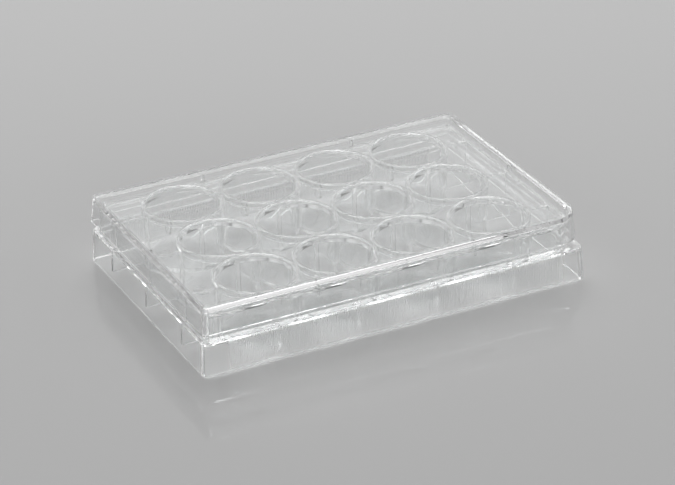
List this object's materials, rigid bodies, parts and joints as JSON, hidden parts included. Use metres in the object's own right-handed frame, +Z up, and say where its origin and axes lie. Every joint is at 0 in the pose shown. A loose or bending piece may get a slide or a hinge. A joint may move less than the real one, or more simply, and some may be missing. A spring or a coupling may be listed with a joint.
{
  "type": "well plate",
  "caption": "Clear rectangular cell-culture plate with flat-bottomed round wells in rows, a skirted foot and a loose lid that rests on spacers just above the well rims.",
  "frame": {"origin": "middle of the skirt's footprint, on the surface that the plate stands on", "axes": "+X along the rows from column 1 to column 4, +Y from row C at the front to row A at the back, +Z up"},
  "size_m": [0.1278, 0.0854, 0.0221],
  "materials": {
    "plate_polystyrene": "crystal-clear, polished mould",
    "lid_polystyrene": "crystal-clear, polished mould"
  },
  "bodies": {
    "root": {"well_plate": "plate_polystyrene", "lid": "lid_polystyrene"}
  },
  "joints": []
}
